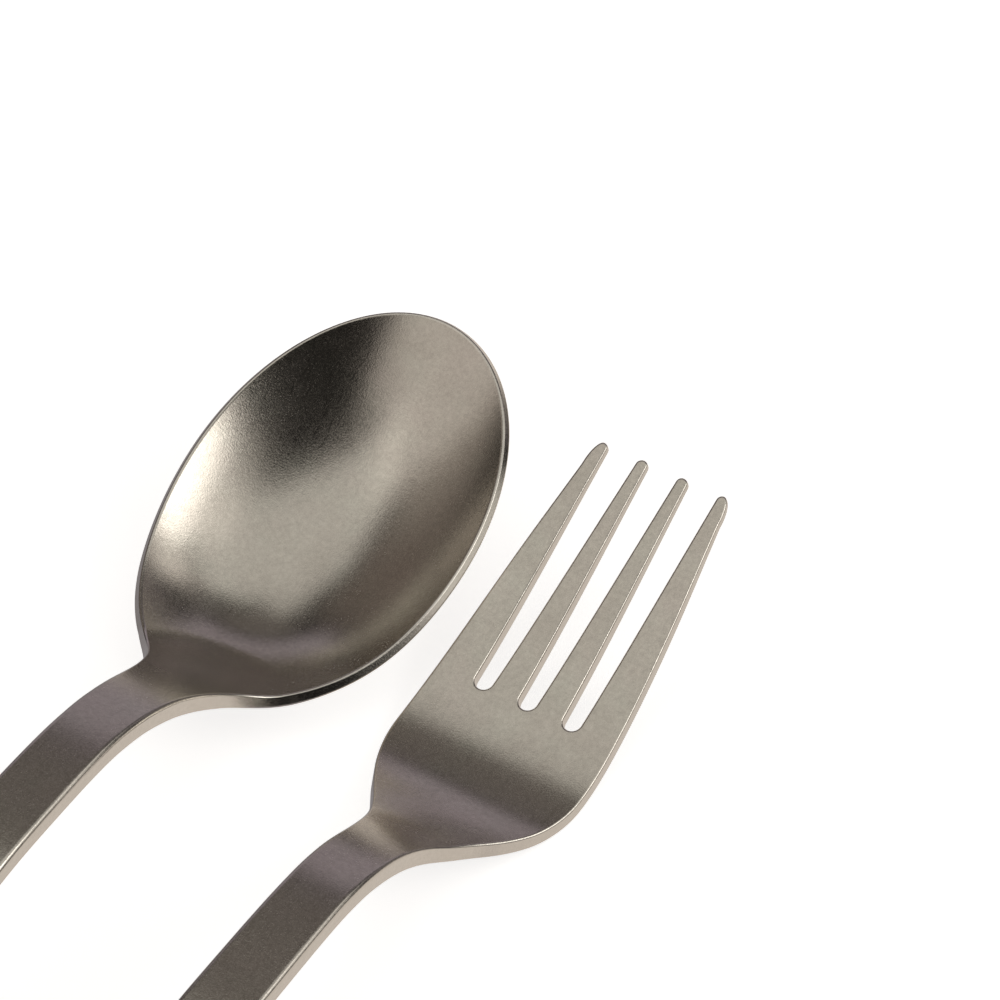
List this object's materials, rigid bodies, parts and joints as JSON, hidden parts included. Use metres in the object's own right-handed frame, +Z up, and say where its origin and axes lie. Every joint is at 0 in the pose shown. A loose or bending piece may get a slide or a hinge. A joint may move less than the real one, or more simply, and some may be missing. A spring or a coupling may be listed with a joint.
{
  "type": "picnic cutlery pair",
  "caption": "Steel spoon and fork lying side by side, each pressed from one bar, with arched handles and a tumbled matt finish.",
  "frame": {"origin": "on the table, under the middle of the pair's bounding box", "axes": "+Z up from the table, +Y along both pieces from the handles to the bowl and the tines, +X from the spoon to the fork"},
  "size_m": [0.0742, 0.1974, 0.0237],
  "materials": {
    "spoon_steel": "tumbled matt",
    "fork_steel": "tumbled matt"
  },
  "bodies": {
    "spoon": {"spoon": "spoon_steel"},
    "fork": {"fork": "fork_steel"}
  },
  "joints": [
    {"name": "fork_lift", "type": "slide", "parent": "spoon", "child": "fork", "axis": [0, 0, 1], "range_m": [0, 0.06]}
  ]
}
